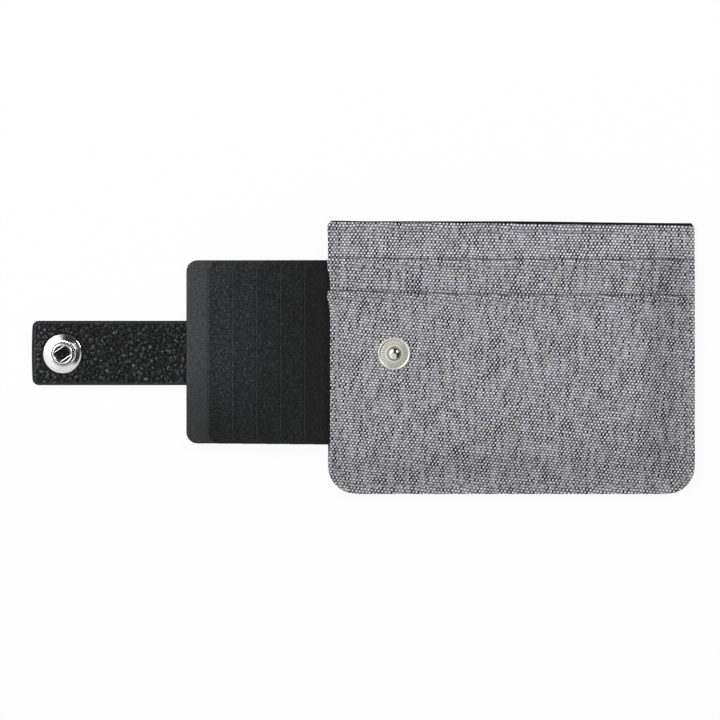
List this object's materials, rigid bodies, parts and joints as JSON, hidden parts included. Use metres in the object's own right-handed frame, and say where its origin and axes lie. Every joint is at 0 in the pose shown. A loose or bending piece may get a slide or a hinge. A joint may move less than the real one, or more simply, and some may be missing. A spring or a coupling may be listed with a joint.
{
  "type": "card wallet",
  "caption": "Slim grey fabric card wallet with a pull-out cascade of black card sleeves and a leather strap that folds round to a press stud.",
  "frame": {"origin": "on the table, under the middle of the whole object with its sleeves drawn out and its strap flat", "axes": "+X from the strap's tip towards the wallet's closed right edge, +Y to the wallet's top edge, +Z out of the front that carries the stud"},
  "size_m": [0.2076, 0.0848, 0.0121],
  "materials": {
    "grey_canvas": "heather grey plain weave",
    "black_lining": "black lining cloth",
    "smooth_plastic": "smooth satin black",
    "grained_plastic": "finely grained matt black",
    "black_leather": "pebbled black leather with painted edges",
    "chrome": "polished",
    "nickel": "satin nickel plate",
    "spring_steel": "bright spring wire"
  },
  "bodies": {
    "wallet": {"back_panel": "grey_canvas", "back_lining": "black_lining", "channel_back_liner": "black_lining", "channel_front_liner": "black_lining", "channel_upper_gusset": "black_lining", "channel_lower_gusset": "black_lining", "channel_end_gusset": "black_lining", "front_base_panel": "grey_canvas", "upper_slip_pocket": "grey_canvas", "lower_slip_pocket": "grey_canvas", "snap_stud": "nickel", "stud_rivet": "nickel"},
    "pull_sheet": {"pull_sheet": "smooth_plastic", "strap_root": "black_leather"},
    "sleeve_1": {"sleeve_1_back": "grained_plastic", "sleeve_1_front": "grained_plastic"},
    "sleeve_2": {"sleeve_2_back": "grained_plastic", "sleeve_2_front": "grained_plastic"},
    "sleeve_3": {"sleeve_3_back": "grained_plastic", "sleeve_3_front": "grained_plastic"},
    "sleeve_4": {"sleeve_4_back": "grained_plastic", "sleeve_4_front": "grained_plastic"},
    "sleeve_5": {"sleeve_5_back": "grained_plastic", "sleeve_5_front": "grained_plastic"},
    "strap_link_1": {"strap_link_1": "black_leather"},
    "strap_link_2": {"strap_link_2": "black_leather"},
    "strap_bridge": {"strap_bridge": "black_leather"},
    "strap_link_3": {"strap_link_3": "black_leather"},
    "strap_link_4": {"strap_link_4": "black_leather"},
    "strap_tail": {"strap_tail": "black_leather", "snap_socket": "chrome", "socket_spring": "spring_steel", "socket_cap": "chrome"}
  },
  "joints": [
    {"name": "sleeve_pull", "type": "slide", "parent": "wallet", "child": "pull_sheet", "axis": [1, 0, 0], "range_m": [0, 0.04928]},
    {"name": "sleeve_1_slide", "type": "slide", "parent": "wallet", "child": "sleeve_1", "axis": [1, 0, 0], "range_m": [0, 0.04248]},
    {"name": "sleeve_2_slide", "type": "slide", "parent": "wallet", "child": "sleeve_2", "axis": [1, 0, 0], "range_m": [0, 0.03496]},
    {"name": "sleeve_3_slide", "type": "slide", "parent": "wallet", "child": "sleeve_3", "axis": [1, 0, 0], "range_m": [0, 0.02744]},
    {"name": "sleeve_4_slide", "type": "slide", "parent": "wallet", "child": "sleeve_4", "axis": [1, 0, 0], "range_m": [0, 0.01992]},
    {"name": "sleeve_5_slide", "type": "slide", "parent": "wallet", "child": "sleeve_5", "axis": [1, 0, 0], "range_m": [0, 0.0124]},
    {"name": "strap_rise", "type": "hinge", "parent": "pull_sheet", "child": "strap_bridge", "pos_m": [-0.06329, 0.00138, 0.00396], "axis": [0, 1, 0], "range_deg": [0, 90]},
    {"name": "strap_link_1_turn", "type": "hinge", "parent": "pull_sheet", "child": "strap_link_1", "pos_m": [-0.06078, 0.00138, 0.00304], "axis": [0, 1, 0], "range_deg": [0, 30]},
    {"name": "strap_link_2_turn", "type": "hinge", "parent": "pull_sheet", "child": "strap_link_2", "pos_m": [-0.06203, 0.00138, 0.00338], "axis": [0, 1, 0], "range_deg": [0, 60]},
    {"name": "strap_close", "type": "hinge", "parent": "strap_bridge", "child": "strap_tail", "pos_m": [-0.07082, 0.00138, 0.00396], "axis": [0, 1, 0], "range_deg": [0, 90]},
    {"name": "strap_link_4_turn", "type": "hinge", "parent": "strap_tail", "child": "strap_link_4", "pos_m": [-0.07333, 0.00138, 0.00304], "axis": [0, -1, 0], "range_deg": [0, 30]},
    {"name": "strap_link_3_turn", "type": "hinge", "parent": "strap_tail", "child": "strap_link_3", "pos_m": [-0.07207, 0.00138, 0.00338], "axis": [0, -1, 0], "range_deg": [0, 60]}
  ],
  "couplings": [
    {"joint": "sleeve_1_slide", "follows": "sleeve_pull", "ratio": 0.862},
    {"joint": "sleeve_2_slide", "follows": "sleeve_pull", "ratio": 0.70939},
    {"joint": "sleeve_3_slide", "follows": "sleeve_pull", "ratio": 0.55678},
    {"joint": "sleeve_4_slide", "follows": "sleeve_pull", "ratio": 0.40417},
    {"joint": "sleeve_5_slide", "follows": "sleeve_pull", "ratio": 0.25157},
    {"joint": "strap_link_1_turn", "follows": "strap_rise", "ratio": 0.33333},
    {"joint": "strap_link_2_turn", "follows": "strap_rise", "ratio": 0.66666},
    {"joint": "strap_link_4_turn", "follows": "strap_close", "ratio": 0.33333},
    {"joint": "strap_link_3_turn", "follows": "strap_close", "ratio": 0.66666}
  ]
}
